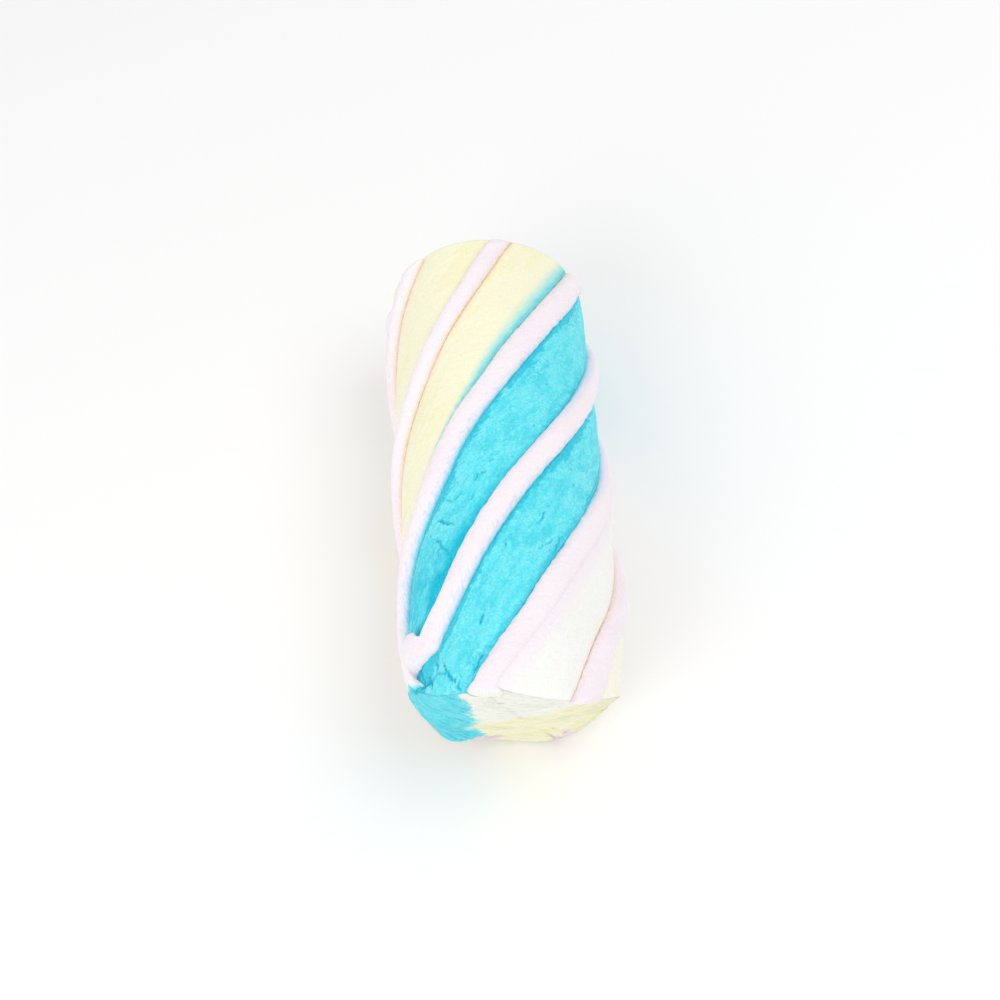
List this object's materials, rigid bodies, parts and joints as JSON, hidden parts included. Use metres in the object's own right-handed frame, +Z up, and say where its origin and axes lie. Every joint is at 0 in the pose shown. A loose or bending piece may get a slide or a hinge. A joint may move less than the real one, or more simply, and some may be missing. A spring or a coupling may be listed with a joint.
{
  "type": "twisted marshmallow",
  "caption": "Twisted marshmallow lying on its side: cyan, white and yellow strands twisted into a thick rod with cut ends, and thin pink ropes wound round it in grooves.",
  "frame": {"origin": "on the table under the middle of the marshmallow, at the centre of its footprint", "axes": "+Y along the marshmallow from the near cut end to the far one, +Z up from the table, +X to the right as seen from the near end"},
  "size_m": [0.0298, 0.07, 0.0293],
  "materials": {
    "cyan": "soft matte foam, lightly powdered",
    "white": "soft matte foam, lightly powdered",
    "yellow": "soft matte foam, lightly powdered",
    "pink": "soft matte foam, lightly powdered"
  },
  "bodies": {
    "root": {"cyan_strand": "cyan", "white_strand": "white", "yellow_strand": "yellow", "pink_rope_1": "pink", "pink_rope_2": "pink", "pink_rope_3": "pink", "pink_rope_4": "pink", "pink_rope_5": "pink", "pink_rope_6": "pink", "pink_rope_7": "pink"}
  },
  "joints": []
}
